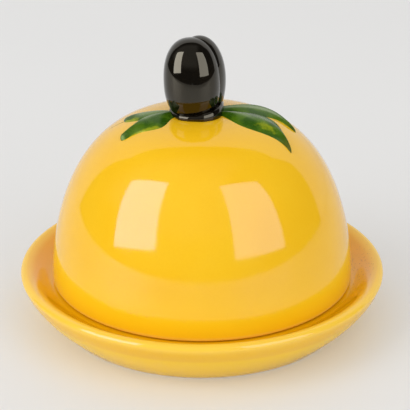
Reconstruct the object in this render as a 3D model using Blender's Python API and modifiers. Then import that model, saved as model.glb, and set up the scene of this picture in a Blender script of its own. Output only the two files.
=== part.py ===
"""Olive dish with a domed lid, in metres, +Z up, with its origin under the middle of the foot.

Two loose pieces of glazed earthenware: a shallow dish, and a hollow dome that is lifted off by its knob.
The knob is a pair of olives that stand on a pad of slip. They and the four leaves are made apart and
pressed onto the dome before it is fired.
"""

import math

import bmesh
import bpy
from mathutils import Matrix, Vector

MM = 0.001

# Clearances
SEAM_GAP = 0.3 * MM           # between two pieces that touch
LID_PLAY = 0.8 * MM           # sideways room of the lid in the dish

# Lid: its own frame has z = 0 at its lower edge
LID_RADIUS = 66.0 * MM        # outside, at the lower edge
LID_HEIGHT = 74.1 * MM        # outside, from the lower edge to the crown
LID_WALL = 5.0 * MM
LID_EDGE_ROUND = 1.4 * MM
DOME_SIDE_POWER = 3.1         # 2 would make the dome an ellipsoid, more makes its shoulder fuller
DOME_CROWN_POWER = 1.9

# Dish
FOOT_RECESS = 4.8 * MM        # hollow under the floor
FLOOR_THICKNESS = 5.2 * MM
WELL_DEPTH = 7.3 * MM         # from the lid's seat down to the floor
WELL_SLOPE = 9.0 * MM         # plan width of the well's sloping side
SEAT_INSIDE = 2.0 * MM        # how far the seat goes on inside the lid's wall
RIM_MARGIN = 14.0 * MM        # how far the dish goes on outside the lid
LIP_RISE = 5.8 * MM           # top of the lip above the seat
LIP_ROUND_WIDTH = 2.3 * MM    # from the lip's outermost point in to its top
LIP_ROUND_HEIGHT = 2.0 * MM   # from the lip's outermost point up to its top
LIP_OUTER_ANGLE = -15         # where the lip's rounding meets the outer wall, in degrees from level
SLOPE_TOE = 2.0 * MM          # plan width of the hollow curve from the seat up into the slope
SLOPE_SHOULDER = 1.5 * MM     # plan width of the round curve from the slope onto the top of the lip
WALL_TUCK = 2.3 * MM          # the outer wall leaves the lip this much inwards ...
WALL_DROP = 8.3 * MM          # ... for this much down
FOOT_INSET = 1.6 * MM         # outer edge of the foot, inside the lid's radius
FOOT_WIDTH = 6.0 * MM
FOOT_ROUND = 0.9 * MM

# Knob: place of each olive on the crown, rise of its centre above it, lean towards +X and tilt towards +Y.
# A fullness of 2 makes an olive an ellipsoid, more makes it rounder at both ends.
COLLAR_HEIGHT = 2.0 * MM      # pad of slip above the crown
COLLAR_OVERHANG = 0.6 * MM    # bead of slip pressed out past the olives
OLIVES = {
    "olive_front": {
        "x": -4.05 * MM, "y": 1.2 * MM, "rise": 13.8 * MM,
        "lean": math.radians(-2.4), "tilt": math.radians(8.0),
        "radius": 11.85 * MM, "length": 37.2 * MM, "fullness": 2.3,
    },
    "olive_rear": {
        "x": -1.9 * MM, "y": 5.75 * MM, "rise": 11.9 * MM,
        "lean": math.radians(1.6), "tilt": math.radians(-3.5),
        "radius": 11.65 * MM, "length": 40.8 * MM, "fullness": 2.05,
    },
}

# Leaves: places of the root and the tip on the crown, from the lid's axis, then the sizes of the blade.
# Widest under 1 puts the widest place nearer to the root, and a bow power under 1 does so with the bow.
# A larger taper draws both ends out longer. Stem is the half width added at the root, fading out to the
# tip, and blunt is the half width that is left at the tip. Crest is how far to one side the ridge runs.
LEAVES = {
    "leaf_front_right": {
        "root": (6.4 * MM, 0.4 * MM), "tip": (36.75 * MM, -19.95 * MM), "half_width": 6.3 * MM,
        "bow": 3.0 * MM, "stem": 1.9 * MM, "blunt": 0.45 * MM, "thickness": 1.9 * MM, "widest": 0.95,
        "taper": 1.85, "bow_power": 1.15, "crest": 0.25,
    },
    "leaf_rear_right": {
        "root": (6.4 * MM, 4.6 * MM), "tip": (39.95 * MM, -0.4 * MM), "half_width": 4.3 * MM,
        "bow": 7.0 * MM, "stem": 3.2 * MM, "blunt": 0.45 * MM, "thickness": 1.4 * MM, "widest": 0.85,
        "taper": 3.45, "bow_power": 1.45, "crest": 0.4,
    },
    "leaf_front_left": {
        "root": (-11.2 * MM, -1.6 * MM), "tip": (-33.45 * MM, -15.35 * MM), "half_width": 4.9 * MM,
        "bow": 1.05 * MM, "stem": 0.9 * MM, "blunt": 1.1 * MM, "thickness": 2.2 * MM, "widest": 0.86,
        "taper": 3.1, "bow_power": 1.12, "crest": -0.25,
    },
    "leaf_rear_left": {
        "root": (-12.0 * MM, 1.0 * MM), "tip": (-32.8 * MM, 4.0 * MM), "half_width": 3.6 * MM,
        "bow": 0.4 * MM, "stem": 0.9 * MM, "blunt": 1.2 * MM, "thickness": 1.2 * MM, "widest": 1.6,
        "taper": 0.4, "bow_power": 1.07, "crest": 0.0,
    },
}
LEAF_BEHIND = {"leaf_rear_right": "leaf_front_right", "leaf_rear_left": "leaf_front_left"}
LEAF_END_THICKNESS = 0.6 * MM # at the root and at the tip
LEAF_ROUND_POWER = 0.8        # less makes the leaf's back flatter and its sides steeper
LEAF_THINNING_POWER = 3       # more keeps the leaf thick for longer towards its ends

# Fineness of the mesh
TURN_STEPS = 48
DOME_STEPS = 14
HOLLOW_STEPS = 10
WALL_STEPS = 5
LIP_STEPS = 5
CURVE_STEPS = 3
ROUND_STEPS = 2
LEAF_STATIONS = 12
LEAF_ARC_STEPS = 8
LEAF_BASE_STEPS = 3
OLIVE_SEGMENTS = 28
OLIVE_RINGS = 16
MERGE_DISTANCE = 0.00002
SHARP_ANGLE = math.radians(40)

# Sizes that follow from the ones above
SEAT_HEIGHT = FOOT_RECESS + FLOOR_THICKNESS + WELL_DEPTH
LID_BASE = SEAT_HEIGHT + SEAM_GAP
RIM_RADIUS = LID_RADIUS + RIM_MARGIN
FOOT_RADIUS = LID_RADIUS - FOOT_INSET

PARTS = "olive_dish_with_lid"
CUTTERS = "cutters"

# Finishes: colour and roughness
YELLOW_GLAZE = ((0.90, 0.47, 0.03), 0.12)
BLACK_GLAZE = ((0.010, 0.007, 0.005), 0.06)
GREEN_GLAZE = ((0.018, 0.085, 0.009), 0.15)


def clear_scene():
    for item in list(bpy.data.objects):
        bpy.data.objects.remove(item, do_unlink=True)


def new_collection(name):
    if name in bpy.data.collections:
        bpy.data.collections.remove(bpy.data.collections[name])
    bpy.context.scene.collection.children.link(bpy.data.collections.new(name))


def new_material(name, finish):
    colour, roughness = finish
    material = bpy.data.materials.new(name)
    material.use_nodes = True
    shader = material.node_tree.nodes["Principled BSDF"]
    shader.inputs["Base Color"].default_value = (*colour, 1.0)
    shader.inputs["Roughness"].default_value = roughness
    shader.inputs["Metallic"].default_value = 0.0
    return material


def add_object(name, mesh, collection, parent=None):
    item = bpy.data.objects.new(name, mesh)
    item.parent = parent
    bpy.data.collections[collection].objects.link(item)
    return item


def add_part(name, mesh, finish, parent=None):
    """Put a piece of the object in the scene, shaded smooth and with its own finish."""
    mesh.materials.append(new_material(name, finish))
    mesh.shade_smooth()
    mesh.set_sharp_from_angle(angle=SHARP_ANGLE)
    return add_object(name, mesh, PARTS, parent)


def add_cutter(name, mesh, parent=None):
    """Put a shape in the scene that only cuts others."""
    cutter = add_object(name, mesh, CUTTERS, parent)
    cutter.hide_render = True
    cutter.display_type = "WIRE"
    return cutter


def add_boolean(item, other, operation, solver="EXACT"):
    modifier = item.modifiers.new(f"{operation.lower()} {other.name}", "BOOLEAN")
    modifier.operation = operation
    modifier.object = other
    modifier.solver = solver


def profile_mesh(name, points):
    """Open line of points (radius, height), ready to be turned round the Z axis."""
    mesh = bpy.data.meshes.new(name)
    edges = [(index, index + 1) for index in range(len(points) - 1)]
    mesh.from_pydata([(radius, 0.0, height) for radius, height in points], edges, [])
    return mesh


def turn(item):
    """Turn a profile into a closed round body."""
    screw = item.modifiers.new("turn", "SCREW")
    screw.axis = "Z"
    screw.angle = math.tau
    screw.steps = TURN_STEPS
    screw.render_steps = TURN_STEPS
    screw.use_merge_vertices = True
    screw.merge_threshold = MERGE_DISTANCE
    screw.use_smooth_shade = True


def arc(centre, radii, start, end, steps):
    """Points along part of an ellipse, with the angles in degrees."""
    points = []
    for step in range(steps + 1):
        angle = math.radians(start + (end - start) * step / steps)
        points.append((centre[0] + radii[0] * math.cos(angle), centre[1] + radii[1] * math.sin(angle)))
    return points


def bend(start, control, end, steps):
    """Points of a quadratic curve, without its first point."""
    points = []
    for step in range(1, steps + 1):
        share = step / steps
        weights = ((1 - share) ** 2, 2 * share * (1 - share), share ** 2)
        points.append(tuple(
            weights[0] * start[axis] + weights[1] * control[axis] + weights[2] * end[axis]
            for axis in range(2)
        ))
    return points


def dome_curve(radius, height, steps):
    """Half section of the dome, from its crown on the axis down to its lower edge."""
    points = []
    for step in range(steps + 1):
        angle = math.pi / 2 * step / steps
        points.append((
            radius * math.sin(angle) ** (2 / DOME_SIDE_POWER),
            height * max(math.cos(angle), 0.0) ** (2 / DOME_CROWN_POWER),
        ))
    return points


def dish_profile():
    """Half section of the dish: floor, well, seat, slope, lip, outer wall, foot and underside."""
    floor = FOOT_RECESS + FLOOR_THICKNESS
    seat_start = LID_RADIUS - LID_WALL - SEAT_INSIDE
    seat_end = LID_RADIUS + LID_PLAY
    well_edge = seat_start - WELL_SLOPE
    well_middle = (seat_start - WELL_SLOPE / 2, floor + WELL_DEPTH / 2)
    lip_top = (RIM_RADIUS - LIP_ROUND_WIDTH, SEAT_HEIGHT + LIP_RISE)
    lip_centre = (lip_top[0], lip_top[1] - LIP_ROUND_HEIGHT)
    lip_radii = (LIP_ROUND_WIDTH, LIP_ROUND_HEIGHT)
    lip = arc(lip_centre, lip_radii, 90, 0, LIP_STEPS)
    lip += arc(lip_centre, lip_radii, 0, LIP_OUTER_ANGLE, 1)[1:]
    slope_toe = (seat_end + SLOPE_TOE, SEAT_HEIGHT)
    slope_shoulder = (lip_top[0] - SLOPE_SHOULDER, lip_top[1])
    slope_middle = ((slope_toe[0] + slope_shoulder[0]) / 2, (slope_toe[1] + slope_shoulder[1]) / 2)
    foot_start = (FOOT_RADIUS, FOOT_ROUND)
    foot_inside = FOOT_RADIUS - FOOT_WIDTH

    points = [(0.0, floor), (well_edge, floor)]
    points += bend((well_edge, floor), (well_middle[0], floor), well_middle, CURVE_STEPS)
    points += bend(well_middle, (well_middle[0], SEAT_HEIGHT), (seat_start, SEAT_HEIGHT), CURVE_STEPS)
    points.append((seat_end, SEAT_HEIGHT))
    points += bend((seat_end, SEAT_HEIGHT), slope_toe, slope_middle, CURVE_STEPS)
    points += bend(slope_middle, slope_shoulder, lip_top, CURVE_STEPS)
    points += lip[1:]
    points += bend(lip[-1], (RIM_RADIUS - WALL_TUCK, lip[-1][1] - WALL_DROP), foot_start, WALL_STEPS)
    points += bend(foot_start, (FOOT_RADIUS, 0.0), (FOOT_RADIUS - FOOT_ROUND, 0.0), ROUND_STEPS)
    points.append((foot_inside + FOOT_ROUND, 0.0))
    points += bend(points[-1], (foot_inside, 0.0), (foot_inside, FOOT_ROUND), ROUND_STEPS)
    recess_edge = (foot_inside - FOOT_RECESS, FOOT_RECESS)
    points += bend(points[-1], (foot_inside, FOOT_RECESS), recess_edge, CURVE_STEPS)
    points.append((0.0, FOOT_RECESS))
    return points


def lid_profile():
    """Half section of the hollow dome, down its outside, round its edge and up its inside."""
    inner_radius = LID_RADIUS - LID_WALL
    outside = dome_curve(LID_RADIUS, LID_HEIGHT, DOME_STEPS)
    inside = dome_curve(inner_radius, LID_HEIGHT - LID_WALL, HOLLOW_STEPS)
    outside = [point for point in outside if point[1] > LID_EDGE_ROUND]
    inside = [point for point in inside if point[1] > LID_EDGE_ROUND]
    radii = (LID_EDGE_ROUND, LID_EDGE_ROUND)
    outer_round = arc((LID_RADIUS - LID_EDGE_ROUND, LID_EDGE_ROUND), radii, 0, -90, CURVE_STEPS)
    inner_round = arc((inner_radius + LID_EDGE_ROUND, LID_EDGE_ROUND), radii, 270, 180, CURVE_STEPS)
    return outside + outer_round + inner_round + inside[::-1]


def crown_profile():
    """Half section of a solid dome, larger than the lid by the gap, that shapes what sits on the crown."""
    return dome_curve(LID_RADIUS + SEAM_GAP, LID_HEIGHT + SEAM_GAP, DOME_STEPS) + [(0.0, 0.0)]


def on_dome(x, y, lift):
    """Point at plan position x, y in the lid's frame, lifted off the outside of the dome."""
    distance = math.hypot(x, y)
    share = distance / LID_RADIUS
    left = 1 - share ** DOME_SIDE_POWER
    height = LID_HEIGHT * left ** (1 / DOME_CROWN_POWER)
    fall = height / left * share ** (DOME_SIDE_POWER - 1) * DOME_SIDE_POWER / (DOME_CROWN_POWER * LID_RADIUS)
    normal = Vector((fall * x / distance, fall * y / distance, 1.0)).normalized()
    return Vector((x, y, height)) + normal * lift


def leaf_section(leaf, share, margin, low, high):
    """Closed cross section of a leaf at a share of its length: a rounded top and a base along the dome."""
    root = Vector(leaf["root"])
    along = Vector(leaf["tip"]) - root
    aside = Vector((-along.y, along.x)).normalized()
    bow = leaf["bow"] * math.sin(math.pi * share ** leaf["bow_power"])
    middle = root + along * share + aside * bow
    half = leaf["half_width"] * max(math.sin(math.pi * share ** leaf["widest"]), 0.0) ** leaf["taper"]
    half += leaf["stem"] * (1 - share) + leaf["blunt"] + margin

    profile = []
    for step in range(LEAF_ARC_STEPS + 1):
        across = math.cos(math.pi * step / LEAF_ARC_STEPS)
        span = 1 - leaf["crest"] if across > leaf["crest"] else 1 + leaf["crest"]
        rise = max(1 - ((across - leaf["crest"]) / span) ** 2, 0.0) ** LEAF_ROUND_POWER
        profile.append((half * across, low + (high - low) * rise))
    for step in range(1, LEAF_BASE_STEPS):
        profile.append((half * (2 * step / LEAF_BASE_STEPS - 1), low))

    points = []
    for across, lift in profile:
        points.append(on_dome(*(middle + aside * across), lift))
    return points


def loft_mesh(name, sections):
    """Closed body through a row of sections that have the same number of points."""
    shape = bmesh.new()
    rings = [[shape.verts.new(point) for point in section] for section in sections]
    count = len(rings[0])
    for ring, following in zip(rings, rings[1:]):
        for index in range(count):
            beside = (index + 1) % count
            shape.faces.new((ring[index], ring[beside], following[beside], following[index]))
    shape.faces.new(rings[0][::-1])
    shape.faces.new(rings[-1])
    bmesh.ops.recalc_face_normals(shape, faces=shape.faces)
    mesh = bpy.data.meshes.new(name)
    shape.to_mesh(mesh)
    shape.free()
    return mesh


def leaf_mesh(name, leaf):
    sections = []
    for station in range(LEAF_STATIONS + 1):
        share = station / LEAF_STATIONS
        thinning = abs(2 * share - 1) ** LEAF_THINNING_POWER
        thickness = leaf["thickness"] + (LEAF_END_THICKNESS - leaf["thickness"]) * thinning
        sections.append(leaf_section(leaf, share, 0.0, SEAM_GAP, SEAM_GAP + thickness))
    return loft_mesh(name, sections)


def leaf_cutter_mesh(name, leaf):
    """Leaf with a margin all round, high enough to cut right through its neighbour."""
    height = 3 * leaf["thickness"]
    sections = []
    for station in range(LEAF_STATIONS + 1):
        share = station / LEAF_STATIONS
        sections.append(leaf_section(leaf, share, 2 * SEAM_GAP, -SEAM_GAP, height))
    return loft_mesh(name, sections)


def olive_mesh(name, olive, margin):
    """Olive a little fuller than an ellipsoid, larger by the margin all round."""
    shape = bmesh.new()
    bmesh.ops.create_uvsphere(shape, u_segments=OLIVE_SEGMENTS, v_segments=OLIVE_RINGS, radius=1.0)
    power = 2 / olive["fullness"]
    for corner in shape.verts:
        outward = corner.co.xy
        if outward.length > 0.0:
            outward *= outward.length ** (power - 1) * (olive["radius"] + margin)
        height = math.copysign(abs(corner.co.z) ** power, corner.co.z) * (olive["length"] / 2 + margin)
        corner.co = (*outward, height)
    mesh = bpy.data.meshes.new(name)
    shape.to_mesh(mesh)
    shape.free()
    return mesh


def place_olive(item, olive):
    item.location = (olive["x"], olive["y"], LID_HEIGHT + olive["rise"])
    item.rotation_euler = (-olive["tilt"], olive["lean"], 0.0)


def olive_foot(olive):
    """Plan centre of an olive where it meets the pad, and the radius it has there."""
    drop = olive["rise"] - COLLAR_HEIGHT
    narrowing = (2 * drop / olive["length"]) ** olive["fullness"]
    radius = olive["radius"] * (1 - narrowing) ** (1 / olive["fullness"])
    centre = (olive["x"] - drop * math.tan(olive["lean"]), olive["y"] - drop * math.tan(olive["tilt"]))
    return centre, radius


def pad_profile(radius):
    """Half section of a round pad with a rounded top edge, reaching below the crown to be cut there."""
    top = LID_HEIGHT + COLLAR_HEIGHT
    bottom = LID_HEIGHT - COLLAR_HEIGHT
    bead = COLLAR_HEIGHT / 2
    edge = arc((radius - bead, top - bead), (bead, bead), 90, 0, CURVE_STEPS)
    return [(0.0, top)] + edge + [(radius, bottom), (0.0, bottom)]


def cylinder_mesh(name, radius, low, high):
    shape = bmesh.new()
    bmesh.ops.create_cone(
        shape, cap_ends=True, segments=TURN_STEPS, radius1=radius, radius2=radius, depth=high - low,
        matrix=Matrix.Translation((0.0, 0.0, (low + high) / 2)),
    )
    mesh = bpy.data.meshes.new(name)
    shape.to_mesh(mesh)
    shape.free()
    return mesh


def build_dish():
    turn(add_part("dish", profile_mesh("dish", dish_profile()), YELLOW_GLAZE))


def build_dome(lid):
    turn(add_part("lid_dome", profile_mesh("lid_dome", lid_profile()), YELLOW_GLAZE, lid))


def build_collar(lid, dome_cutter):
    """Pad of slip under both olives, joined from one round pad for each and hollowed to fit the crown."""
    pads = []
    for name, olive in OLIVES.items():
        centre, radius = olive_foot(olive)
        mesh = profile_mesh(f"{name}_pad", pad_profile(radius + COLLAR_OVERHANG))
        if pads:
            pad = add_cutter(f"{name}_pad", mesh, lid)
        else:
            pad = add_part("knob_collar", mesh, BLACK_GLAZE, lid)
        pad.location = (*centre, 0.0)
        turn(pad)
        pads.append(pad)
    add_boolean(pads[0], pads[1], "UNION")
    add_boolean(pads[0], dome_cutter, "DIFFERENCE")


def build_olives(lid):
    """Two olives cut level where they stand on the pad, the rear one also cut to fit round the front one."""
    pad_top = LID_HEIGHT + COLLAR_HEIGHT + SEAM_GAP
    level_mesh = cylinder_mesh("olive_level", RIM_RADIUS, -LID_HEIGHT, pad_top)
    level_cutter = add_cutter("olive_level", level_mesh, lid)
    front_olive = OLIVES["olive_front"]
    front_mesh = olive_mesh("olive_front_space", front_olive, SEAM_GAP)
    front_cutter = add_cutter("olive_front_space", front_mesh, lid)
    place_olive(front_cutter, front_olive)
    for name, olive in OLIVES.items():
        item = add_part(name, olive_mesh(name, olive, 0.0), BLACK_GLAZE, lid)
        place_olive(item, olive)
        add_boolean(item, level_cutter, "DIFFERENCE")
        if name == "olive_rear":
            add_boolean(item, front_cutter, "DIFFERENCE")


def build_leaves(lid):
    """Four leaves that lie on the dome, cut round the knob, the rear ones also along the front ones."""
    knob_cutters = []
    for name, olive in OLIVES.items():
        centre, radius = olive_foot(olive)
        space = radius + COLLAR_OVERHANG + SEAM_GAP
        mesh = cylinder_mesh(f"{name}_space", space, 0.0, 2 * LID_HEIGHT)
        cutter = add_cutter(f"{name}_root_space", mesh, lid)
        cutter.location = (*centre, 0.0)
        knob_cutters.append(cutter)
    for name, leaf in LEAVES.items():
        item = add_part(name, leaf_mesh(name, leaf), GREEN_GLAZE, lid)
        for cutter in knob_cutters:
            add_boolean(item, cutter, "DIFFERENCE")
        if name in LEAF_BEHIND:
            front = LEAF_BEHIND[name]
            cutter = add_cutter(f"{front}_space", leaf_cutter_mesh(f"{front}_space", LEAVES[front]), lid)
            # Two leaves may just miss each other, which only this solver copes with at every size
            add_boolean(item, cutter, "DIFFERENCE", "MANIFOLD")


clear_scene()
new_collection(PARTS)
new_collection(CUTTERS)

build_dish()

lid_axis = add_object("lid_axis", None, PARTS)
lid_axis.location = (0.0, 0.0, LID_BASE)
crown_cutter = add_cutter("crown", profile_mesh("crown", crown_profile()), lid_axis)
turn(crown_cutter)

build_dome(lid_axis)
build_collar(lid_axis, crown_cutter)
build_olives(lid_axis)
build_leaves(lid_axis)
bpy.context.view_layer.update()
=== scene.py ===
"""Looks of the olive dish with lid: finely glazed pieces over the frame, a pale floor and soft light."""

import math

import bmesh
import bpy
from mathutils import Matrix, Vector


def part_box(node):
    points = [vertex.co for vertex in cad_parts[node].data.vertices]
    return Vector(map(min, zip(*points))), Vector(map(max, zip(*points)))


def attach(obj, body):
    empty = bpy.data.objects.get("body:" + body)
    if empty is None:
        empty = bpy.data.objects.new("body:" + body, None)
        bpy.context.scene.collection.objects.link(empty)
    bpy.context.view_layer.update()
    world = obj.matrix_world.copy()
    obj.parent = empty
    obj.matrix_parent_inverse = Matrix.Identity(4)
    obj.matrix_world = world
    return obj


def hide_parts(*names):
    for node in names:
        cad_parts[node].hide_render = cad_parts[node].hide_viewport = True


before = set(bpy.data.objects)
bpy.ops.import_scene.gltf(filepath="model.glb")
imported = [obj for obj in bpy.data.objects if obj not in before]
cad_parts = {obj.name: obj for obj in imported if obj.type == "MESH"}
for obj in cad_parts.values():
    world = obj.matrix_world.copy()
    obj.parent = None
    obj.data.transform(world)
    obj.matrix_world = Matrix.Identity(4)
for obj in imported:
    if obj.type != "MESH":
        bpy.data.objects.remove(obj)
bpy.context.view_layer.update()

MM = 0.001

# Main sizes, read from the frame
DOME_LOW, DOME_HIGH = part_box("lid_dome")
DISH_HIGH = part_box("dish")[1]
LID_BASE = DOME_LOW.z
LID_RADIUS = DOME_HIGH.x
LID_HEIGHT = DOME_HIGH.z - DOME_LOW.z
CROWN = LID_BASE + LID_HEIGHT
RIM_RADIUS = DISH_HIGH.x
LIP_TOP = DISH_HIGH.z

# Shape of the dome. Powers of 2 would make it an ellipsoid; a higher one is fuller there.
LID_WALL = 5.0 * MM
LID_EDGE_ROUND = 1.4 * MM
DOME_SIDE_POWER = 3.1
DOME_CROWN_POWER = 1.9

# Shape of the dish
SEAT_HEIGHT = 17.3 * MM
FLOOR_HEIGHT = 10.0 * MM
FOOT_RECESS = 4.8 * MM
WELL_SLOPE = 9.0 * MM         # width of the slope down into the well
SEAT_INSIDE = 2.0 * MM        # how far the seat reaches inside the wall of the lid
SEAT_OUTSIDE = 0.8 * MM       # the same, outside it
LIP_ROUND_WIDTH = 2.3 * MM
LIP_ROUND_HEIGHT = 2.0 * MM
LIP_OUTER_ANGLE = -15         # degrees, where the round of the lip goes over into the outer wall
LIP_RADIUS = RIM_RADIUS - LIP_ROUND_WIDTH
SLOPE_TOE = 2.0 * MM          # bend at the foot of the slope inside the lip
SLOPE_SHOULDER = 1.5 * MM     # bend at its top
WALL_TUCK = 2.3 * MM          # bend of the outer wall, in from the rim
WALL_DROP = 8.3 * MM          # the same, down from the lip
FOOT_INSET = 1.6 * MM         # outer edge of the foot, inside that of the lid
FOOT_RADIUS = LID_RADIUS - FOOT_INSET
FOOT_WIDTH = 6.0 * MM
FOOT_ROUND = 0.4 * MM
FOOT_INSIDE = FOOT_RADIUS - FOOT_WIDTH

# Shape of the knob. A fullness of 2 is an ellipsoid, more is rounder at both ends. Lean is towards +X, and
# tilt is away from the camera. A plan power over 2 makes an olive flatter in front.
OLIVES = {
    "olive_front": {
        "x": -4.15 * MM, "y": 1.2 * MM, "rise": 13.8 * MM,
        "lean": math.radians(-2.4), "tilt": math.radians(8.0),
        "radius": 12.0 * MM, "upper": 18.6 * MM, "lower": 16.5 * MM,
        "fullness": 2.35, "plan_power": 2.25,
    },
    "olive_rear": {
        "x": -1.45 * MM, "y": 5.75 * MM, "rise": 12.1 * MM,
        "lean": math.radians(1.6), "tilt": math.radians(-3.5),
        "radius": 11.65 * MM, "upper": 20.4 * MM, "lower": 20.4 * MM,
        "fullness": 2.05, "plan_power": 2.0,
    },
}
OLIVE_SINK = 1.2 * MM         # how far the olives go on below the crown
BEAD_CENTRE = (-2.2 * MM, 3.5 * MM)   # bead of slip round the foot of the olives, in plan
BEAD_HALF_WIDTH = 10.4 * MM
BEAD_HALF_DEPTH = 13.0 * MM
BEAD_POWER = 2.5              # 2 would be an ellipse in plan, more is squarer
BEAD_RISE = 1.0 * MM          # middle of the bead above the dome
BEAD_THICKNESS = 2.0 * MM     # from its middle out
BEAD_HEIGHT = 1.5 * MM        # from its middle up
BEAD_INSET = 0.8 * MM         # middle of the bead inside its plan line
BEAD_CLIMB = 2.2 * MM         # how much higher it goes on the right
BEAD_SQUEEZE = 0.35           # share of its thickness that it loses on the right
BEAD_ARC = (105, -50)         # degrees, from its inner top over the outside to its underside
BEAD_LUMPS = ((4, 0.7, 1.0), (9, 2.1, 0.8), (17, 0.0, 0.5))   # lumps in a round, their turn and their size
BEAD_LUMPS_OUT = 0.05         # share of its thickness that the lumps add or take
BEAD_LUMPS_UP = 0.06          # the same for its height
PAD_RISE = 2.3 * MM           # top of the pad inside the bead, above the dome
PAD_EDGE = 2.4 * MM           # edge of that top, inside the plan line
PAD_CORE = 5.0 * MM           # middle part of the pad, inside the plan line
PAD_FOOT = 1.0 * MM           # how deep the outer edge of the pad goes into the dome
PAD_SINK = 1.6 * MM           # underside of the pad below the crown

# Shape of the leaves. Root and tip end the middle line in plan, and bow swings it aside. Half width comes
# on top of the stem, which runs out at the tip, and of the half width of the blunt tip. A widest or a bow
# power over 1 moves that place towards the tip, and a higher taper draws both ends out. Crests lie from -1
# to 1 across. Last comes where the glaze is thinner, then where the pale streak of painted highlight runs,
# in shares of the length and places across, with its width and strength, and how brown the tip is.
LEAVES = {
    "leaf_front_right": {
        "root": (6.4 * MM, 0.4 * MM), "tip": (36.95 * MM, -20.2 * MM),
        "bow": 4.6 * MM, "bow_power": 1.12, "half_width": 9.0 * MM, "widest": 0.95, "taper": 1.85,
        "stem": 1.9 * MM, "blunt": 0.45 * MM, "thickness": 2.2 * MM, "end_thickness": 0.4 * MM,
        "crest": -0.33, "tip_crest": 0.7, "thin_along": (0.56, 0.74), "thin_across": (-0.62, -0.22),
        "highlight_along": (0.10, 0.45), "highlight_across": -0.30, "highlight_width": 0.16, "pale": 0.45, "brown": 1.0,
    },
    "leaf_rear_right": {
        "root": (6.4 * MM, 4.6 * MM), "tip": (39.95 * MM, -0.4 * MM),
        "bow": 5.4 * MM, "bow_power": 1.45, "half_width": 5.0 * MM, "widest": 1.0, "taper": 3.45,
        "stem": 3.2 * MM, "blunt": 0.45 * MM, "thickness": 1.8 * MM, "end_thickness": 0.4 * MM,
        "crest": 0.45, "tip_crest": 0.7, "thin_along": (0.68, 0.86), "thin_across": (-1.2, -0.70),
        "highlight_along": (0.05, 0.80), "highlight_across": 0.10, "highlight_width": 0.30, "pale": 0.9, "brown": 0.3,
    },
    "leaf_front_left": {
        "root": (-11.2 * MM, -1.6 * MM), "tip": (-33.45 * MM, -15.35 * MM),
        "bow": 0.7 * MM, "bow_power": 1.12, "half_width": 5.9 * MM, "widest": 0.86, "taper": 3.1,
        "stem": 0.9 * MM, "blunt": 1.7 * MM, "thickness": 2.2 * MM, "end_thickness": 1.1 * MM,
        "crest": -0.25, "tip_crest": -0.8, "thin_along": (0.44, 0.92), "thin_across": (0.60, 1.2),
        "highlight_along": (0.05, 0.55), "highlight_across": -0.30, "highlight_width": 0.26, "pale": 0.6, "brown": 0.0,
    },
    "leaf_rear_left": {
        "root": (-12.0 * MM, 1.0 * MM), "tip": (-33.5 * MM, 3.9 * MM),
        "bow": 0.85 * MM, "bow_power": 1.07, "half_width": 4.05 * MM, "widest": 1.6, "taper": 0.4,
        "stem": 0.9 * MM, "blunt": 1.2 * MM, "thickness": 1.2 * MM, "end_thickness": 0.4 * MM,
        "crest": 0.0, "tip_crest": -0.2, "thin_along": (0.66, 0.98), "thin_across": (0.46, 0.95),
        "highlight_along": (0.05, 0.70), "highlight_across": 0.0, "highlight_width": 0.75, "pale": 0.75, "brown": 0.0,
    },
}
LEAF_CREST_POWER = 1.4        # 1 is a sharp ridge, 2 a parabola
LEAF_CREST_SWING = 3          # the higher, the nearer to the tip the crest swings over
LEAF_THINNING_POWER = 3       # the higher, the nearer to its ends a leaf gets thin
LEAF_TIP_ROUND = 1.1          # length of the rounded tip, in blunt half widths
LEAF_TIP_SHORTEST = 1.6 * MM  # least length of the rounded tip
LEAF_TIP_LEAST = 0.1          # share of its width and height that is left at the very tip
LEAF_LIFT = 0.3 * MM          # the frame's gap under a leaf
LEAF_SINK = 0.4 * MM          # how deep a leaf's base goes into the dome
LEAF_THIN_FADE = (0.12, 0.24)     # edges of the thin glaze, along and across
LEAF_HIGHLIGHT_FADE = 0.10             # ends of the pale streak, a painted highlight
LEAF_HIGHLIGHT_CORE = 0.03             # where the pale streak begins to fade to its sides
LEAF_BROWN_ALONG = (0.80, 0.97)   # where the tip gets brown
TAIL_START = (-32.2 * MM, 2.2 * MM)   # thread of glaze that the rear left leaf was drawn out into
TAIL_END = (-39.9 * MM, 4.0 * MM)
TAIL_HALF_WIDTH = 0.28 * MM
TAIL_HEIGHT = 0.12 * MM
TAIL_NARROWING = 0.7          # share of its size that it loses towards its end
# Painted highlight on the thread, under its brown
TAIL_HIGHLIGHT = 0.6
TAIL_BROWN = 1.0

# Where the yellow glaze changes, each from where the change begins to where it is full; several of these
# are painted light, shade and highlights
# Lighter colour low on the outer wall of the dish: painted light, as if bounced up from the floor
WALL_PAINTED_LIGHT_RADIUS = (FOOT_RADIUS - 2.0 * MM, FOOT_RADIUS)
WALL_PAINTED_LIGHT_HEIGHT = (16.0 * MM, 14.0 * MM)
# Pale lip: the glaze is thinner there, and a highlight is painted along it
LIP_PALE_RADIUS = (LIP_RADIUS - 4.5 * MM, LIP_RADIUS - 1.0 * MM)
LIP_PALE_HEIGHT = (LIP_TOP - 4.5 * MM, LIP_TOP - 1.5 * MM)
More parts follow.
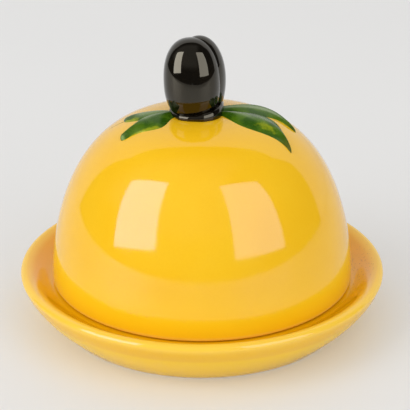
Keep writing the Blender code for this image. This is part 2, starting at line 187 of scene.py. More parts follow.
# Darker, more orange slope inside the lip: glaze pooled there, and painted shade from the lid
SLOPE_POOLED_SHADE_RADIUS = (LIP_RADIUS, LIP_RADIUS - 4.0 * MM)
SLOPE_POOLED_SHADE_TOP = (LIP_TOP, LIP_TOP - 1.0 * MM)
SLOPE_POOLED_SHADE_BOTTOM = (SEAT_HEIGHT - 1.0 * MM, SEAT_HEIGHT)
SPECKED_INSIDE = (LID_RADIUS, LID_RADIUS + 1.0 * MM)
SPECKED_OUTSIDE = (LIP_RADIUS, LIP_RADIUS - 3.0 * MM)
SPECKED_X = (50.0 * MM, 62.0 * MM)
SPECKED_Y = (24.0 * MM, 12.0 * MM)
FOOT_BARE_RADIUS = (FOOT_INSIDE - 1.0 * MM, FOOT_INSIDE)
FOOT_BARE_HEIGHT = (0.6 * MM, 0.2 * MM)
# Lighter colour low on the dome: painted light
DOME_PAINTED_LIGHT_RISE = (24.0 * MM, 8.0 * MM)
DOME_PAINTED_LIGHT_MOST = 0.7          # share of the lighter colour, painted light, where it is full
DOME_DULL_RISE = (18.0 * MM, 8.0 * MM)
DOME_DULL_MOST = 0.10         # roughness that comes on top where it is full
# Pale line round the rounded lower edge of the dome: painted highlight
EDGE_HIGHLIGHT_RISE = (2.0 * MM, 1.2 * MM)
EDGE_BARE_RISE = (0.35 * MM, 0.05 * MM)

# Glazes: their colours, some of them painted light, shade and highlights, then their gloss, the tint of
# mirrored light and the height of their bumps
YELLOW_GLAZE = {
    "clouds": ((0.885, 0.498, 0.010), (0.900, 0.526, 0.014)), "grain": (0.855, 0.457, 0.007),
    # Of these colours, pooled is partly painted shade, thin is painted light, and pale is a painted
    # highlight that on the lip is partly thinner glaze
    "pooled": (0.895, 0.475, 0.001), "thin": (0.960, 0.605, 0.006), "pale": (0.940, 0.590, 0.055),
    "pinhole": (0.30, 0.12, 0.006), "clay": ((0.66, 0.55, 0.38), (0.76, 0.66, 0.48)),
    "roughness": (0.065, 0.100), "gloss_size": 9 * MM, "ior": 1.55, "mirror_tint": (0.52, 0.52, 1.0),
    "wave": 0.05 * MM, "peel": 0.0016 * MM,
}
BLACK_GLAZE = {
    "clouds": ((0.0035, 0.0025, 0.0015), (0.0065, 0.0042, 0.0020)), "dust": (0.16, 0.14, 0.11),
    "roughness": (0.035, 0.065), "gloss_size": 5 * MM, "ior": 1.62, "mirror_tint": (1.0, 0.92, 0.74),
    "wave": 0.06 * MM, "peel": 0.0020 * MM,
}
GREEN_GLAZE = {
    "clouds": ((0.022, 0.078, 0.001), (0.064, 0.142, 0.003)),
    # The pale colour is a painted highlight along the crest of the leaves
    "pale": (0.27, 0.34, 0.18), "brown": (0.085, 0.088, 0.008),
    "thin": (0.26, 0.30, 0.006), "thin_range": (0.25, 1.0),
    "thinnest": (0.68, 0.60, 0.045), "thinnest_range": (1.02, 1.30), "thin_unevenness": 1.4,
    "roughness": (0.23, 0.31), "gloss_size": 4 * MM, "ior": 1.50, "mirror_tint": (0.85, 1.0, 0.50),
    "wave": 0.08 * MM, "peel": 0.0030 * MM,
}
WAVE_SIZE = 22 * MM           # slow waves of a hand-finished body under the glaze
PEEL_SIZE = 1.6 * MM          # fine orange peel of the glaze
NOISE_MIDDLE = 0.5            # mean value of the noise
GLOSS_RANGE = (0.3, 0.8)      # values of the noise between which the roughness changes
CLAY_DULLNESS = 0.7           # how much rougher bare clay is than glaze
SPECK_CORE = 0.5              # share of a speck's radius that has its full colour
WHITE = (1.0, 1.0, 1.0)
DARK = (0.0, 0.0, 0.0)

# Floor
FLOOR_HALF_SIZE = 4.0
FLOOR_PARTS = 8
FLOOR_GAP = 0.02 * MM         # keeps the floor just clear of the foot
FLOOR_CLOUDS = ((0.770, 0.770, 0.770), (0.800, 0.800, 0.800))
FLOOR_ROUGHNESS = 0.55
FLOOR_GLOW = 0.20             # share of its own light in what the camera sees of the floor
FLOOR_GLOW_COLOUR = (0.75, 0.725, 0.68)

# Strength of the surroundings
BACKGROUND_GLOW = 0.74        # as the camera sees it
BACKDROP_GLOW = 0.75          # behind the object, as its glaze mirrors it
CEILING_GLOW = 0.26           # high in front of the object and to its left
ROOM_GLOW = 0.06              # dark room everywhere else
ROOM_FILL = 0.59              # what room and ceiling add to light that is scattered, not mirrored
FRONT_FILL = 0.95             # the same, low in front

# Edges of the backdrop from where they begin to where they are full, at a depth of 1 behind the object
BACKDROP_LEFT = (-1.72, -1.60)
BACKDROP_RIGHT = (1.72, 1.60)
BACKDROP_TOP = (1.92, 1.80)
BACKDROP_WING = (2.78, 2.60)  # slanted edge below which it goes on to the right
BACKDROP_WING_SLANT = 0.9
LEAST_DEPTH = 0.001           # in place of the depth of directions to the front

# Edges of the ceiling and of the low front, along the axes of the direction
CEILING_EDGES = {"X": (0.45, 0.20), "Z": (0.25, 0.50), "Y": (0.30, 0.0)}
LOW_FRONT_EDGES = {"Y": (-0.1, -0.8), "Z": (0.7, 0.2)}

# Soft boxes: angles in degrees, with azimuth 0 towards the camera and going up to the right, sizes in
# metres, power in watts, and glow as the glaze mirrors it
SOFT_BOXES = {
    "soft_box_left": {
        "azimuth": -64.2, "elevation": 32.7, "roll": 27.0, "turn": 22.0, "lean": 20.2,
        "width": 1.631, "height": 2.235, "power": 24.2, "glow": 5.6,
    },
    "soft_box_right": {
        "azimuth": 52.5, "elevation": 38.1, "roll": -18.9, "turn": -19.9, "lean": 32.5,
        "width": 1.742, "height": 2.605, "power": 14.2, "glow": 3.0,
    },
}
SOFT_BOX_DISTANCE = 2.5
SOFT_BOX_AIM = Vector((0.0, 0.0, 55 * MM))

# Camera at the photograph's angle
CAMERA_TARGET = Vector((1.31, 0.0, 49.18)) * MM
CAMERA_DISTANCE = 600.0 * MM
CAMERA_PITCH = math.radians(23.577)
CAMERA_LENS = 120.6
CAMERA_SENSOR = 36.0
CAMERA_CLIP_START = 10 * MM

# Fineness of the meshes
TURN_STEPS = 192
DOME_STEPS = 90
HOLLOW_STEPS = 48
BEND_STEPS = 12
WALL_STEPS = 24
LIP_STEPS = 24
ROUND_STEPS = 8
BEAD_STEPS = 16
OLIVE_SEGMENTS = 96
OLIVE_RINGS = 72
COLLAR_SEGMENTS = 160
LEAF_STATIONS = 72
LEAF_ARC_STEPS = 28
LEAF_BASE_STEPS = 6
TAIL_STATIONS = 36
POLE_RADIUS = 1e-7            # a profile's point nearer to the axis is a pole


# Node helpers

def set_inputs(tree, node, inputs):
    """Link a node's inputs to other sockets, or set their values; a colour comes without its alpha."""
    for name, value in inputs.items():
        socket = node.inputs[name]
        if isinstance(value, bpy.types.NodeSocket):
            tree.links.new(value, socket)
        elif socket.type == "RGBA":
            socket.default_value = (*value, 1.0)
        else:
            socket.default_value = value


def add_node(tree, kind, inputs=None, **settings):
    node = tree.nodes.new(kind)
    for name, value in settings.items():
        setattr(node, name, value)
    set_inputs(tree, node, inputs or {})
    return node


def calculate(tree, operation, first, second):
    return add_node(tree, "ShaderNodeMath", {0: first, 1: second}, operation=operation).outputs[0]


def ramp(tree, value, start, end, low=0.0, high=1.0):
    """Smooth step from low to high as the value goes from start to end."""
    inputs = {"Value": value, "From Min": start, "From Max": end, "To Min": low, "To Max": high}
    node = add_node(tree, "ShaderNodeMapRange", inputs, interpolation_type="SMOOTHSTEP")
    return node.outputs["Result"]


def ramps(tree, axes, edges):
    """Product of a ramp along each axis that has edges."""
    product = 1.0
    for axis, limits in edges.items():
        product = calculate(tree, "MULTIPLY", product, ramp(tree, axes[axis], *limits))
    return product


def mix_colours(tree, share, first, second):
    node = add_node(tree, "ShaderNodeMix", data_type="RGBA")
    places = [place for place, socket in enumerate(node.inputs) if socket.type == "RGBA"]
    set_inputs(tree, node, {"Factor": share, places[0]: first, places[1]: second})
    return next(socket for socket in node.outputs if socket.type == "RGBA")


def mix_values(tree, share, first, second):
    node = add_node(tree, "ShaderNodeMix", {"Factor": share, "A": first, "B": second}, data_type="FLOAT")
    return node.outputs["Result"]


def noise(tree, where, size, detail):
    """Smooth noise with features of about the given size in metres."""
    inputs = {"Vector": where, "Scale": 1.0 / size, "Detail": detail}
    return add_node(tree, "ShaderNodeTexNoise", inputs).outputs["Fac"]


def specks(tree, where, size, radius, most):
    """Round dots of the given radius, one in each cell of the given size, with the value most inside."""
    inputs = {"Vector": where, "Scale": 1.0 / size, "Randomness": 1.0}
    cells = add_node(tree, "ShaderNodeTexVoronoi", inputs, feature="F1")
    edge = radius / size
    return ramp(tree, cells.outputs["Distance"], start=edge, end=edge * SPECK_CORE, high=most)


def attribute(tree, name):
    return add_node(tree, "ShaderNodeAttribute", attribute_name=name).outputs["Fac"]


def new_material(name):
    material = bpy.data.materials.new(name)
    material.use_nodes = True
    tree = material.node_tree
    where = add_node(tree, "ShaderNodeTexCoord").outputs["Object"]
    return material, tree, tree.nodes["Principled BSDF"], where


def finish_glaze(tree, shader, where, glaze, colour, dull=0.0):
    """Colour, gloss and bumps of a glaze; dull is roughness that comes on top."""
    clouds = noise(tree, where, glaze["gloss_size"], detail=3.0)
    gloss = ramp(tree, clouds, *GLOSS_RANGE, *glaze["roughness"])
    waves = add_node(tree, "ShaderNodeBump", {
        "Height": noise(tree, where, WAVE_SIZE, detail=1.0), "Distance": glaze["wave"], "Strength": 1.0,
    })
    peel = add_node(tree, "ShaderNodeBump", {
        "Height": noise(tree, where, PEEL_SIZE, detail=2.0), "Distance": glaze["peel"], "Strength": 1.0,
        "Normal": waves.outputs["Normal"],
    })
    set_inputs(tree, shader, {
        "Base Color": colour, "Roughness": calculate(tree, "ADD", gloss, dull), "IOR": glaze["ior"],
        "Specular Tint": glaze["mirror_tint"], "Normal": peel.outputs["Normal"],
    })


# Materials

def make_yellow_glaze():
    glaze = YELLOW_GLAZE
    material, tree, shader, where = new_material("yellow_glaze")
    clouds = ramp(tree, noise(tree, where, size=35 * MM, detail=3.0), start=0.3, end=0.7)
    colour = mix_colours(tree, clouds, *glaze["clouds"])
    grain = ramp(tree, noise(tree, where, size=0.9 * MM, detail=3.0), start=0.35, end=0.75, high=0.25)
    colour = mix_colours(tree, grain, colour, glaze["grain"])
    # Pooled is partly painted shade, thin is painted light, and pale is a painted highlight that on the
    # lip is partly thinner glaze
    for change in ("pooled", "thin", "pale"):
        colour = mix_colours(tree, attribute(tree, change), colour, glaze[change])
    holes = specks(tree, where, size=1.3 * MM, radius=0.38 * MM, most=0.55)
    clusters = ramp(tree, noise(tree, where, size=5 * MM, detail=1.0), start=0.36, end=0.52)
    holes = calculate(tree, "MULTIPLY", holes, clusters)
    holes = calculate(tree, "MULTIPLY", holes, attribute(tree, "specked"))
    colour = mix_colours(tree, holes, colour, glaze["pinhole"])
    bare = attribute(tree, "bare")
    clay = mix_colours(tree, noise(tree, where, size=1.2 * MM, detail=4.0), *glaze["clay"])
    colour = mix_colours(tree, bare, colour, clay)
    dull = calculate(tree, "MULTIPLY", bare, CLAY_DULLNESS)
    dull = calculate(tree, "ADD", dull, attribute(tree, "dull"))
    finish_glaze(tree, shader, where, glaze, colour, dull)
    return material


def make_black_glaze():
    glaze = BLACK_GLAZE
    material, tree, shader, where = new_material("black_glaze")
    clouds = ramp(tree, noise(tree, where, size=9 * MM, detail=3.0), start=0.35, end=0.75)
    colour = mix_colours(tree, clouds, *glaze["clouds"])
    dust = specks(tree, where, size=5.5 * MM, radius=0.22 * MM, most=0.5)
    colour = mix_colours(tree, dust, colour, glaze["dust"])
    finish_glaze(tree, shader, where, glaze, colour)
    return material


def make_green_glaze():
    glaze = GREEN_GLAZE
    material, tree, shader, where = new_material("green_glaze")
    clouds = ramp(tree, noise(tree, where, size=6 * MM, detail=2.0), start=0.35, end=0.65)
    colour = mix_colours(tree, clouds, *glaze["clouds"])
    # Pale is a painted highlight along the crest; brown is the tip's own colour
    for change in ("pale", "brown"):
        colour = mix_colours(tree, attribute(tree, change), colour, glaze[change])
    patches = calculate(tree, "SUBTRACT", noise(tree, where, size=2.2 * MM, detail=3.0), NOISE_MIDDLE)
    patches = calculate(tree, "MULTIPLY", patches, glaze["thin_unevenness"])
    # On the leaves this attribute marks where the green glaze is thinner; on the yellow pieces the same
    # attribute is painted light
    thin = calculate(tree, "ADD", attribute(tree, "thin"), patches)
    for change in ("thin", "thinnest"):
        colour = mix_colours(tree, ramp(tree, thin, *glaze[f"{change}_range"]), colour, glaze[change])
    finish_glaze(tree, shader, where, glaze, colour)
    return material


def make_floor_material():
    """Pale table; part of what the camera sees of it is a glow, the same all over."""
    material, tree, shader, where = new_material("pale_floor")
    colour = mix_colours(tree, noise(tree, where, size=250 * MM, detail=3.0), *FLOOR_CLOUDS)
    rays = add_node(tree, "ShaderNodeLightPath").outputs
    glow = calculate(tree, "MULTIPLY", rays["Is Camera Ray"], FLOOR_GLOW)
    set_inputs(tree, shader, {
        "Base Color": mix_colours(tree, glow, colour, DARK), "Roughness": FLOOR_ROUGHNESS,
        "Emission Strength": glow, "Emission Color": FLOOR_GLOW_COLOUR,
    })
    return material


# Geometry helpers

def smooth_step(value, start, end):
    share = min(max((value - start) / (end - start), 0.0), 1.0)
    return share * share * (3 - 2 * share)


def patch(value, limits, fade):
    """1 between the limits and 0 past them, with soft edges."""
    start, end = limits
    return smooth_step(value, start - fade, start + fade) * smooth_step(value, end + fade, end - fade)


def arc(centre, radii, start, end, steps):
    """Points along part of an ellipse, with the angles in degrees."""
    points = []
    for step in range(steps + 1):
        angle = math.radians(start + (end - start) * step / steps)
        points.append((centre[0] + radii[0] * math.cos(angle), centre[1] + radii[1] * math.sin(angle)))
    return points


def bend(start, control, end, steps):
    """Points of a quadratic curve, without its first point."""
    points = []
    for step in range(1, steps + 1):
        share = step / steps
        weights = ((1 - share) ** 2, 2 * share * (1 - share), share ** 2)
        points.append(tuple(
            weights[0] * start[axis] + weights[1] * control[axis] + weights[2] * end[axis]
            for axis in range(2)
        ))
    return points


def line(start, end, steps):
    """Points of a straight line, without its first point."""
    middle = tuple((start[axis] + end[axis]) / 2 for axis in range(2))
    return bend(start, middle, end, steps)


def ring_body(rings):
    """Closed body through rings of points; a ring with a single point is a pole."""
    shape = bmesh.new()
    rows = [[shape.verts.new(point) for point in ring] for ring in rings]
    for row, following in zip(rows, rows[1:]):
        count = max(len(row), len(following))
        for index in range(count):
            beside = (index + 1) % count
            corners = [row[index % len(row)], row[beside % len(row)]]
            corners += [following[beside % len(following)], following[index % len(following)]]
            shape.faces.new(list(dict.fromkeys(corners)))
    for row in (rows[0], rows[-1]):
        if len(row) > 1:
            shape.faces.new(row)
    bmesh.ops.recalc_face_normals(shape, faces=shape.faces)
    return shape


def turned_rings(profile, base):
    """Rings of a profile (radius, height) turned round the Z axis."""
    rings = []
    for radius, height in profile:
        if radius < POLE_RADIUS:
            rings.append([(0.0, 0.0, base + height)])
            continue
        ring = []
        for step in range(TURN_STEPS):
            angle = math.tau * step / TURN_STEPS
            ring.append((radius * math.cos(angle), radius * math.sin(angle), base + height))
        rings.append(ring)
    return rings


def add_piece(name, shape, material, node, body):
    """Piece of the visual model that rides on a body and stands for a node of the frame."""
    mesh = bpy.data.meshes.new(name)
    shape.to_mesh(mesh)
    shape.free()
    mesh.shade_smooth()
    mesh.materials.append(material)
    piece = bpy.data.objects.new(name, mesh)
    bpy.context.scene.collection.objects.link(piece)
    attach(piece, body)
    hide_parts(node)
    return piece


def paint(piece, places, **rules):
    """Store what each rule says at the place of each point; without a rule, the material reads 0."""
    for name, rule in rules.items():
        layer = piece.data.attributes.new(name, "FLOAT", "POINT")
        layer.data.foreach_set("value", [rule(*place) for place in places])


def dome_curve(radius, height, steps):
    """Half section of the dome, from its crown on the axis down to its lower edge."""
    points = []
    for step in range(steps + 1):
        angle = math.pi / 2 * step / steps
        points.append((
            radius * math.sin(angle) ** (2 / DOME_SIDE_POWER),
            height * max(math.cos(angle), 0.0) ** (2 / DOME_CROWN_POWER),
        ))
    return points


def on_dome(x, y, lift):
    """Point at plan position x, y, lifted off the outside of the dome."""
    distance = math.hypot(x, y)
    share = distance / LID_RADIUS
    left = 1 - share ** DOME_SIDE_POWER
    height = LID_HEIGHT * left ** (1 / DOME_CROWN_POWER)
    fall = height / left * share ** (DOME_SIDE_POWER - 1)
    fall *= DOME_SIDE_POWER / (DOME_CROWN_POWER * LID_RADIUS)
    normal = Vector((fall * x / distance, fall * y / distance, 1.0)).normalized()
    return Vector((x, y, LID_BASE + height)) + normal * lift


# Dish

def dish_profile():
    seat_start = LID_RADIUS - LID_WALL - SEAT_INSIDE
    seat_end = LID_RADIUS + SEAT_OUTSIDE
    well_edge = seat_start - WELL_SLOPE
    well_middle = (seat_start - WELL_SLOPE / 2, (FLOOR_HEIGHT + SEAT_HEIGHT) / 2)
    lip_centre = (LIP_RADIUS, LIP_TOP - LIP_ROUND_HEIGHT)
    lip = arc(lip_centre, (LIP_ROUND_WIDTH, LIP_ROUND_HEIGHT), 90, LIP_OUTER_ANGLE, LIP_STEPS)
    slope_toe = (seat_end + SLOPE_TOE, SEAT_HEIGHT)
    slope_shoulder = (LIP_RADIUS - SLOPE_SHOULDER, LIP_TOP)
    slope_middle = ((slope_toe[0] + slope_shoulder[0]) / 2, (SEAT_HEIGHT + LIP_TOP) / 2)
    wall_bend = (RIM_RADIUS - WALL_TUCK, lip[-1][1] - WALL_DROP)
    foot_start = (FOOT_RADIUS, FOOT_ROUND)
    recess_edge = (FOOT_INSIDE - FOOT_RECESS, FOOT_RECESS)

    points = [(0.0, FLOOR_HEIGHT)]
    points += line(points[-1], (well_edge, FLOOR_HEIGHT), BEND_STEPS)
    points += bend(points[-1], (well_middle[0], FLOOR_HEIGHT), well_middle, BEND_STEPS)
    points += bend(well_middle, (well_middle[0], SEAT_HEIGHT), (seat_start, SEAT_HEIGHT), BEND_STEPS)
    points += line(points[-1], (seat_end, SEAT_HEIGHT), BEND_STEPS)
    points += bend(points[-1], slope_toe, slope_middle, BEND_STEPS)
    points += bend(slope_middle, slope_shoulder, (LIP_RADIUS, LIP_TOP), BEND_STEPS)
    points += lip[1:]
    points += bend(lip[-1], wall_bend, foot_start, WALL_STEPS)
    points += bend(foot_start, (FOOT_RADIUS, 0.0), (FOOT_RADIUS - FOOT_ROUND, 0.0), ROUND_STEPS)
    points += line(points[-1], (FOOT_INSIDE + FOOT_ROUND, 0.0), ROUND_STEPS)
    points += bend(points[-1], (FOOT_INSIDE, 0.0), (FOOT_INSIDE, FOOT_ROUND), ROUND_STEPS)
    points += bend(points[-1], (FOOT_INSIDE, FOOT_RECESS), recess_edge, BEND_STEPS)
    points += line(points[-1], (0.0, FOOT_RECESS), BEND_STEPS)
    return points


def make_dish(material):
    shape = ring_body(turned_rings(dish_profile(), 0.0))
    piece = add_piece("glazed_dish", shape, material, "dish", "dish")

    # Lighter lower outer wall: painted light, as if bounced up from the floor
    def thin(radius, place):
        return smooth_step(radius, *WALL_PAINTED_LIGHT_RADIUS) * smooth_step(place.z, *WALL_PAINTED_LIGHT_HEIGHT)

    # Pale lip: thinner glaze, with a painted highlight along it.
    def pale(radius, place):
        return smooth_step(radius, *LIP_PALE_RADIUS) * smooth_step(place.z, *LIP_PALE_HEIGHT)

    # Slope inside the lip: pooled glaze, darkened further as painted shade from the lid.
    def pooled(radius, place):
        on_slope = smooth_step(radius, *SLOPE_POOLED_SHADE_RADIUS) * smooth_step(place.z, *SLOPE_POOLED_SHADE_TOP)
        return on_slope * smooth_step(place.z, *SLOPE_POOLED_SHADE_BOTTOM)

    def bare(radius, place):
        return smooth_step(radius, *FOOT_BARE_RADIUS) * smooth_step(place.z, *FOOT_BARE_HEIGHT)

    def specked(radius, place):
        """Pinholes on the slope inside the lip, on the right."""
        on_slope = smooth_step(radius, *SPECKED_INSIDE) * smooth_step(radius, *SPECKED_OUTSIDE)
        return on_slope * smooth_step(place.x, *SPECKED_X) * smooth_step(abs(place.y), *SPECKED_Y)

    places = [(math.hypot(point.co.x, point.co.y), point.co.copy()) for point in piece.data.vertices]
    paint(piece, places, thin=thin, pale=pale, pooled=pooled, bare=bare, specked=specked)


# Lid

def dome_profile():
    inner_radius = LID_RADIUS - LID_WALL
    outside = dome_curve(LID_RADIUS, LID_HEIGHT, DOME_STEPS)
    inside = dome_curve(inner_radius, LID_HEIGHT - LID_WALL, HOLLOW_STEPS)
    outside = [point for point in outside if point[1] > LID_EDGE_ROUND]
    inside = [point for point in inside if point[1] > LID_EDGE_ROUND]
    radii = (LID_EDGE_ROUND, LID_EDGE_ROUND)
    outer_round = arc((LID_RADIUS - LID_EDGE_ROUND, LID_EDGE_ROUND), radii, 0, -90, ROUND_STEPS)
    inner_round = arc((inner_radius + LID_EDGE_ROUND, LID_EDGE_ROUND), radii, 270, 180, ROUND_STEPS)
    return outside + outer_round + inner_round + inside[::-1]


def make_dome(material):
    shape = ring_body(turned_rings(dome_profile(), LID_BASE))
    piece = add_piece("glazed_dome", shape, material, "lid_dome", "lid")

    # Lighter lower band of the dome: painted light
    def thin(rise):
        return DOME_PAINTED_LIGHT_MOST * smooth_step(rise, *DOME_PAINTED_LIGHT_RISE)

    # Pale line round the lower edge: painted highlight.
    def pale(rise):
        return smooth_step(rise, *EDGE_HIGHLIGHT_RISE)

    def bare(rise):
        return smooth_step(rise, *EDGE_BARE_RISE)

    def dull(rise):
        return DOME_DULL_MOST * smooth_step(rise, *DOME_DULL_RISE)

    places = [(point.co.z - LID_BASE,) for point in piece.data.vertices]
    paint(piece, places, thin=thin, pale=pale, bare=bare, dull=dull)


def make_olive(name, olive, material):
    """Olive a little fuller than an ellipsoid, cut level just under the crown."""
    place = Matrix.Translation((olive["x"], olive["y"], CROWN + olive["rise"]))
    place @= Matrix.Rotation(olive["lean"], 4, "Y") @ Matrix.Rotation(-olive["tilt"], 4, "X")
    side_power = 2 / olive["fullness"]
    plan_power = 2 / olive["plan_power"]
    rings = []
    for row in range(OLIVE_RINGS + 1):
        angle = math.pi * row / OLIVE_RINGS
        radius = olive["radius"] * max(math.sin(angle), 0.0) ** side_power
        height = olive["upper"] if row * 2 < OLIVE_RINGS else -olive["lower"]
        height *= abs(math.cos(angle)) ** side_power
        count = 1 if row in (0, OLIVE_RINGS) else OLIVE_SEGMENTS
        ring = []
        for step in range(count):
            turn = math.tau * step / OLIVE_SEGMENTS
            out = (math.cos(turn), math.sin(turn))
            x, y = (radius * math.copysign(abs(part) ** plan_power, part) for part in out)
            point = place @ Vector((x, y, height))
            point.z = max(point.z, CROWN - OLIVE_SINK)
            ring.append(point)
        rings.append(ring)
    add_piece(f"glazed_{name}", ring_body(rings), material, name, "lid")


def make_collar(material):
    """Pad under both olives, with the bead pressed out round their foot, uneven as it was left by hand."""
    centre = Vector(BEAD_CENTRE)
    sections = []
    for step in range(COLLAR_SEGMENTS):
        angle = math.tau * step / COLLAR_SEGMENTS
        out = Vector((math.cos(angle), math.sin(angle)))
        share = abs(out.x / BEAD_HALF_WIDTH) ** BEAD_POWER + abs(out.y / BEAD_HALF_DEPTH) ** BEAD_POWER
        edge = share ** (-1 / BEAD_POWER)
        lump = sum(size * math.sin(count * angle + turn) for count, turn, size in BEAD_LUMPS)
        to_right = max(out.x, 0.0)
        width = BEAD_THICKNESS * (1 + BEAD_LUMPS_OUT * lump) * (1 - BEAD_SQUEEZE * to_right)
        climb = BEAD_CLIMB * to_right
        height = BEAD_HEIGHT * (1 + BEAD_LUMPS_UP * lump) + climb
        level = on_dome(*(centre + out * edge), 0.0).z
        middle = (edge - BEAD_INSET + BEAD_SQUEEZE * BEAD_THICKNESS * to_right, level + BEAD_RISE)
        top = level + climb + PAD_RISE
        section = [(edge - PAD_CORE, top), (edge - PAD_EDGE, top)]
        section += arc(middle, (width, height), *BEAD_ARC, BEAD_STEPS)
        section += [(edge, level - PAD_FOOT), (edge - PAD_CORE, CROWN - PAD_SINK)]
        sections.append([(*(centre + out * radius), rise) for radius, rise in section])
    top = [(*centre, CROWN + PAD_RISE)]
    bottom = [(*centre, CROWN - PAD_SINK)]
    shape = ring_body([top, *zip(*sections), bottom])
    add_piece("glazed_collar", shape, material, "knob_collar", "lid")


def ridge_section(middle, aside, half, high, crest):
    """Cross section of a ridge that lies on the dome, with how far across it each point lies."""
    profile = []
    for step in range(LEAF_ARC_STEPS + 1):
        across = math.cos(math.pi * step / LEAF_ARC_STEPS)
        span = 1 - crest if across > crest else 1 + crest
        rise = max(1 - abs((across - crest) / span) ** LEAF_CREST_POWER, 0.0)
        profile.append((across, (high + LEAF_SINK) * rise - LEAF_SINK))
    for step in range(1, LEAF_BASE_STEPS):
        profile.append((2 * step / LEAF_BASE_STEPS - 1, -LEAF_SINK))
    points = [on_dome(*(middle + aside * (half * across)), lift) for across, lift in profile]
    return points, [across for across, lift in profile]


def leaf_section(leaf, share):
    """Cross section of a leaf at a share of its length."""
    root = Vector(leaf["root"])
    along = Vector(leaf["tip"]) - root
    aside = Vector((-along.y, along.x)).normalized()
    bow = leaf["bow"] * math.sin(math.pi * share ** leaf["bow_power"])
    half = leaf["half_width"] * max(math.sin(math.pi * share ** leaf["widest"]), 0.0) ** leaf["taper"]
    half += leaf["stem"] * (1 - share) + leaf["blunt"]
    thinning = abs(2 * share - 1) ** LEAF_THINNING_POWER
    high = LEAF_LIFT + leaf["thickness"] + (leaf["end_thickness"] - leaf["thickness"]) * thinning
    crest = leaf["crest"] + (leaf["tip_crest"] - leaf["crest"]) * share ** LEAF_CREST_SWING
    tip_length = max(LEAF_TIP_ROUND * leaf["blunt"], LEAF_TIP_SHORTEST) / along.length
    past = max(share - 1 + tip_length, 0.0) / tip_length
    rounding = math.sqrt(max(1 - past ** 2, LEAF_TIP_LEAST ** 2))
    middle = root + along * share + aside * bow
    return ridge_section(middle, aside, half * rounding, high * rounding, crest)


def make_leaf(name, leaf, material):
    """Ridged leaf on the dome, with its sections closer together towards the tip."""
    rings = []
    places = []
    for station in range(LEAF_STATIONS + 1):
        share = math.sin(math.pi / 2 * station / LEAF_STATIONS)
        points, across = leaf_section(leaf, share)
        rings.append(points)
        places += [(share, value) for value in across]
    piece = add_piece(f"glazed_{name}", ring_body(rings), material, name, "lid")

    def thin(share, across):
        fade_along, fade_across = LEAF_THIN_FADE
        on_length = patch(share, leaf["thin_along"], fade_along)
        return on_length * patch(across, leaf["thin_across"], fade_across)

    # Pale streak along the crest: painted highlight.
    def pale(share, across):
        streak = smooth_step(abs(across - leaf["highlight_across"]), leaf["highlight_width"], LEAF_HIGHLIGHT_CORE)
        return leaf["pale"] * patch(share, leaf["highlight_along"], LEAF_HIGHLIGHT_FADE) * streak

    def brown(share, across):
        return leaf["brown"] * smooth_step(share, *LEAF_BROWN_ALONG)

    paint(piece, places, thin=thin, pale=pale, brown=brown)


def make_leaf_tail(material):
    """Thread of glaze that runs on from the tip of the rear left leaf."""
    start = Vector(TAIL_START)
    along = Vector(TAIL_END) - start
    aside = Vector((-along.y, along.x)).normalized()
    rings = []
    for station in range(TAIL_STATIONS + 1):
        share = station / TAIL_STATIONS
        size = 1 - TAIL_NARROWING * share
        middle = start + along * share
        points, across = ridge_section(middle, aside, TAIL_HALF_WIDTH * size, TAIL_HEIGHT * size, 0.0)
        rings.append(points)
    shape = ring_body(rings)
    piece = add_piece("glazed_leaf_tail", shape, material, "leaf_rear_left", "lid")
    places = [()] * len(piece.data.vertices)
    paint(piece, places, pale=lambda: TAIL_HIGHLIGHT, brown=lambda: TAIL_BROWN)


# Stage

def make_floor():
    shape = bmesh.new()
    bmesh.ops.create_grid(shape, x_segments=FLOOR_PARTS, y_segments=FLOOR_PARTS, size=FLOOR_HALF_SIZE)
    mesh = bpy.data.meshes.new("floor")
    shape.to_mesh(mesh)
    shape.free()
    mesh.materials.append(make_floor_material())
    floor = bpy.data.objects.new("floor", mesh)
    floor.location.z = -FLOOR_GAP
    bpy.context.scene.collection.objects.link(floor)


def make_world():
    """Pale grey to the camera; to the object a dim room, a paler ceiling and a pale backdrop behind it."""
    world = bpy.data.worlds.new("studio")
    world.use_nodes = True
    bpy.context.scene.world = world
    tree = world.node_tree
    direction = add_node(tree, "ShaderNodeTexCoord").outputs["Generated"]
    axes = add_node(tree, "ShaderNodeSeparateXYZ", {0: direction}).outputs
    rays = add_node(tree, "ShaderNodeLightPath").outputs

    depth = calculate(tree, "MAXIMUM", axes["Y"], LEAST_DEPTH)
    aside = calculate(tree, "DIVIDE", axes["X"], depth)
    above = calculate(tree, "DIVIDE", axes["Z"], depth)
    slanted = calculate(tree, "ADD", aside, calculate(tree, "MULTIPLY", above, BACKDROP_WING_SLANT))
    wing = ramp(tree, slanted, *BACKDROP_WING)
    right_edge = calculate(tree, "MAXIMUM", ramp(tree, aside, *BACKDROP_RIGHT), wing)
    backdrop = calculate(tree, "MULTIPLY", ramp(tree, aside, *BACKDROP_LEFT), right_edge)
    backdrop = calculate(tree, "MULTIPLY", backdrop, ramp(tree, above, *BACKDROP_TOP))

    fill = mix_values(tree, ramps(tree, axes, LOW_FRONT_EDGES), ROOM_FILL, FRONT_FILL)
    fill = calculate(tree, "MULTIPLY", rays["Is Diffuse Ray"], fill)
    room = mix_values(tree, ramps(tree, axes, CEILING_EDGES), ROOM_GLOW, CEILING_GLOW)
    lit = mix_values(tree, backdrop, calculate(tree, "ADD", room, fill), BACKDROP_GLOW)
    shown = mix_values(tree, rays["Is Camera Ray"], lit, BACKGROUND_GLOW)
    set_inputs(tree, tree.nodes["Background"], {"Strength": shown, "Color": WHITE})


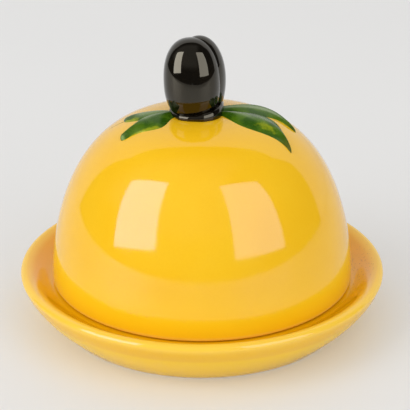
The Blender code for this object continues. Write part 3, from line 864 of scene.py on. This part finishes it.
def make_soft_box(name, box):
    """Rectangular soft light facing the object, then rolled, turned and leaned about its own axes."""
    azimuth = math.radians(box["azimuth"])
    elevation = math.radians(box["elevation"])
    level = math.cos(elevation)
    towards = Vector((math.sin(azimuth) * level, -math.cos(azimuth) * level, math.sin(elevation)))
    right = Vector((0.0, 0.0, 1.0)).cross(towards).normalized()
    axes = Matrix((right, towards.cross(right), towards)).transposed()
    for angle, axis in (("roll", "Z"), ("turn", "Y"), ("lean", "X")):
        axes @= Matrix.Rotation(math.radians(box[angle]), 3, axis)
    light = bpy.data.lights.new(name, "AREA")
    light.shape = "RECTANGLE"
    light.size = box["width"]
    light.size_y = box["height"]
    light.energy = box["power"]
    lamp = bpy.data.objects.new(name, light)
    lamp.matrix_world = Matrix.Translation(towards * SOFT_BOX_DISTANCE + SOFT_BOX_AIM) @ axes.to_4x4()
    lamp.visible_camera = False
    lamp.visible_glossy = False
    bpy.context.scene.collection.objects.link(lamp)
    make_panel(f"{name}_panel", lamp.matrix_world, box)


def make_panel(name, place, box):
    """Face of a soft box, seen only where the glaze mirrors it."""
    x = box["width"] / 2
    y = box["height"] / 2
    mesh = bpy.data.meshes.new(name)
    mesh.from_pydata([(-x, -y, 0), (x, -y, 0), (x, y, 0), (-x, y, 0)], [], [(0, 1, 2, 3)])
    material = bpy.data.materials.new(name)
    material.use_nodes = True
    tree = material.node_tree
    set_inputs(tree, tree.nodes["Principled BSDF"], {
        "Base Color": DARK, "Emission Color": WHITE, "Emission Strength": box["glow"],
    })
    mesh.materials.append(material)
    panel = bpy.data.objects.new(name, mesh)
    panel.matrix_world = place
    panel.visible_camera = False
    panel.visible_diffuse = False
    panel.visible_shadow = False
    panel.visible_transmission = False
    bpy.context.scene.collection.objects.link(panel)


def make_camera():
    data = bpy.data.cameras.new("camera")
    data.lens = CAMERA_LENS
    data.sensor_width = CAMERA_SENSOR
    data.clip_start = CAMERA_CLIP_START
    camera = bpy.data.objects.new("camera", data)
    back = Vector((0.0, -math.cos(CAMERA_PITCH), math.sin(CAMERA_PITCH)))
    camera.location = CAMERA_TARGET + back * CAMERA_DISTANCE
    camera.rotation_euler = (math.pi / 2 - CAMERA_PITCH, 0.0, 0.0)
    bpy.context.scene.collection.objects.link(camera)
    bpy.context.scene.camera = camera


yellow_glaze = make_yellow_glaze()
black_glaze = make_black_glaze()
green_glaze = make_green_glaze()
make_dish(yellow_glaze)
make_dome(yellow_glaze)
for olive_name, olive_shape in OLIVES.items():
    make_olive(olive_name, olive_shape, black_glaze)
make_collar(black_glaze)
for leaf_name, leaf_shape in LEAVES.items():
    make_leaf(leaf_name, leaf_shape, green_glaze)
make_leaf_tail(green_glaze)
make_floor()
make_world()
for box_name, soft_box in SOFT_BOXES.items():
    make_soft_box(box_name, soft_box)
make_camera()
bpy.context.scene.view_settings.view_transform = "Standard"
